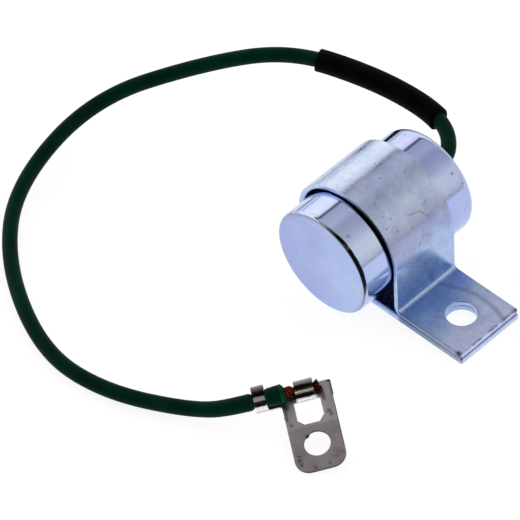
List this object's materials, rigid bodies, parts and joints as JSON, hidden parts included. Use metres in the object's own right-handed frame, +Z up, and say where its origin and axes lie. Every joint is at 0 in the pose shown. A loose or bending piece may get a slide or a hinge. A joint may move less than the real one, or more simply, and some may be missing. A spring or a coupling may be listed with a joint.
{
  "type": "ignition condenser",
  "caption": "Sealed ignition condenser held in a folded metal strap with a screw hole, with a flexible sleeved lead that ends in a crimped flag terminal.",
  "frame": {"origin": "centre of the mounting screw hole, on the underside of the strap's tab", "axes": "+X from the can towards the free end of the tab, +Y along the can from its closed end to the end that the lead leaves, +Z up through the screw hole"},
  "size_m": [0.0771, 0.0711, 0.0199],
  "materials": {
    "can_plate": "bright zinc plate",
    "strap_plate": "satin zinc plate",
    "spring_steel": "satin",
    "roll_foil": "matte",
    "wrap_paper": "matte",
    "disc_brass": "satin",
    "solder": "satin",
    "washer_board": "matte",
    "seal_rubber": "matte",
    "copper_strands": "satin",
    "green_insulation": "satin",
    "black_sleeve": "matte",
    "terminal_tin": "satin"
  },
  "bodies": {
    "root": {"condenser_can": "can_plate", "mounting_strap": "strap_plate", "contact_spring": "spring_steel", "capacitor_roll": "roll_foil", "insulating_wrap": "wrap_paper", "contact_disc": "disc_brass", "solder_joint": "solder", "insulating_washer": "washer_board", "rubber_seal": "seal_rubber", "lead_conductor": "copper_strands", "lead_insulation": "green_insulation", "lead_sleeve": "black_sleeve", "terminal": "terminal_tin"}
  },
  "joints": []
}
